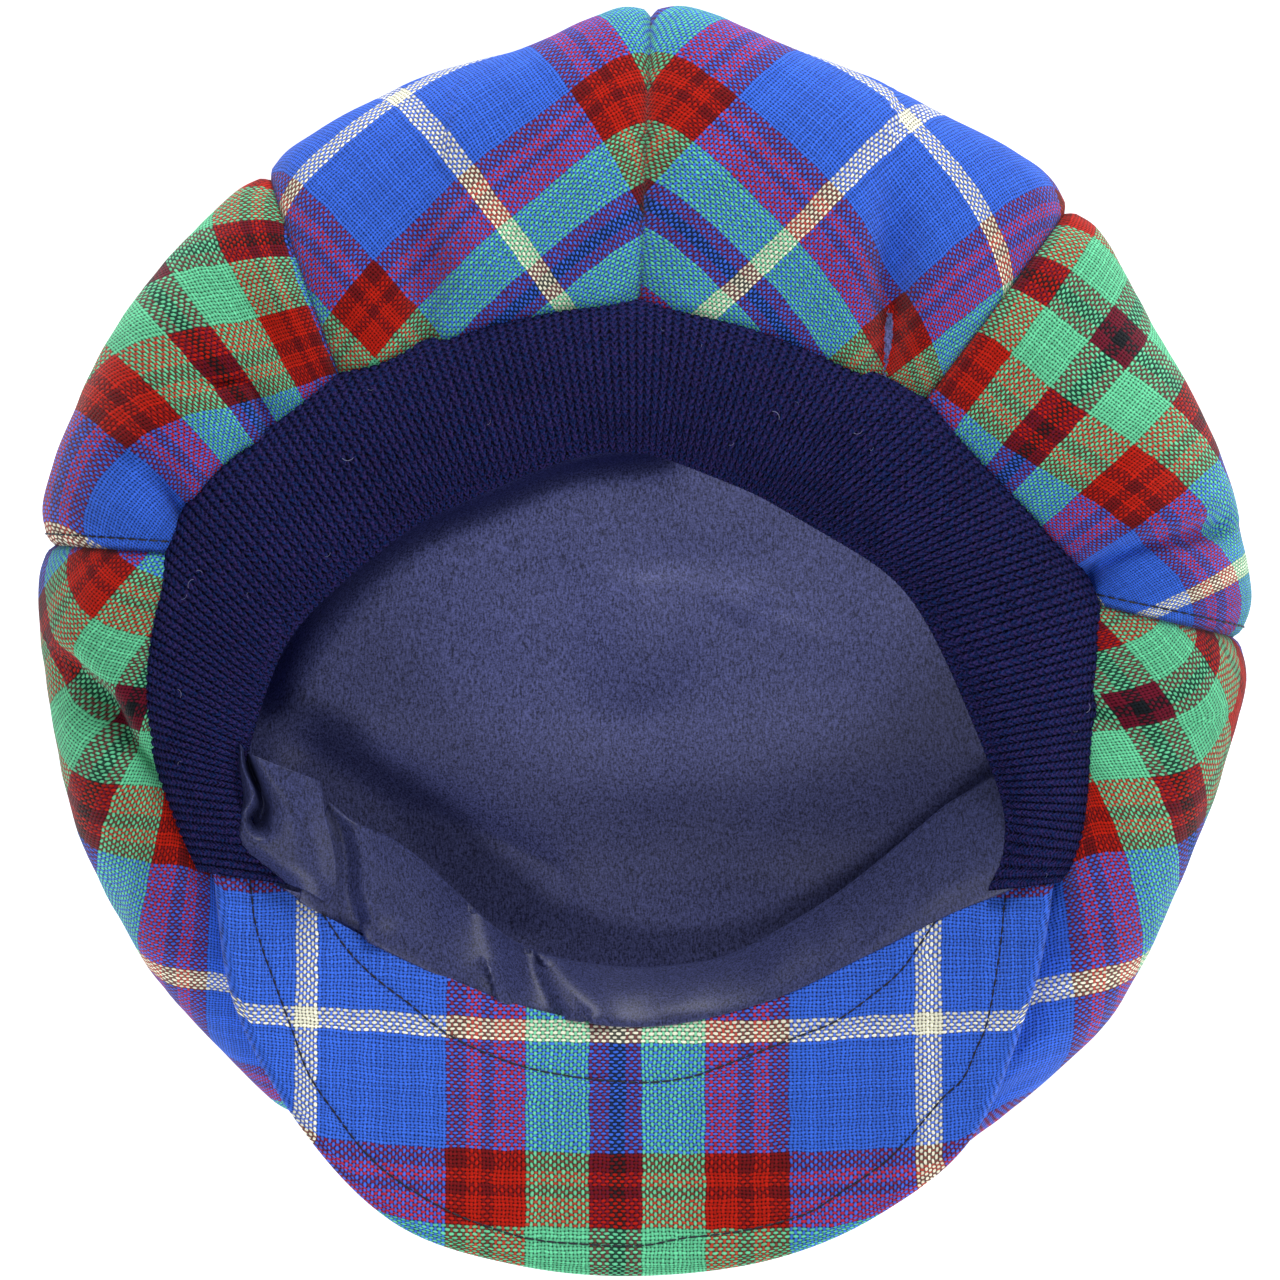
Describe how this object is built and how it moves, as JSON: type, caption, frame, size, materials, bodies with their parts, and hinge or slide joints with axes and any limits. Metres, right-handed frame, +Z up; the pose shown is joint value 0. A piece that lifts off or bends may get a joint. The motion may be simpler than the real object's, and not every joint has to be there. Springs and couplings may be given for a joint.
{
  "type": "flat cap",
  "caption": "Full, panelled flat cap of tartan cloth with a stiff peak, rib-knit band and satin lining, worn on the head; lies upside down, opening up.",
  "frame": {"origin": "on the floor, in the middle of the cap's outline as it lies upside down on its crown", "axes": "+Z up, out of the head opening; -Y towards the peak (the wearer's front), +Y towards the back; +X to the right in the picture"},
  "size_m": [0.2786, 0.2912, 0.0748],
  "materials": {
    "tartan_cloth": "plain-weave woollen cloth in a blue, red, green and white tartan, matt",
    "rib_knit": "navy wool rib knit, matt, slightly fuzzy",
    "satin_lining": "navy satin, soft sheen",
    "satin_strip": "navy twill satin, soft sheen"
  },
  "bodies": {
    "root": {"crown_panel_1": "tartan_cloth", "crown_panel_2": "tartan_cloth", "crown_panel_3": "tartan_cloth", "crown_panel_4": "tartan_cloth", "crown_panel_5": "tartan_cloth", "crown_panel_6": "tartan_cloth", "crown_panel_7": "tartan_cloth", "crown_panel_8": "tartan_cloth", "knit_band": "rib_knit", "lining": "satin_lining", "peak": "tartan_cloth", "front_satin_strip": "satin_strip"}
  },
  "joints": []
}
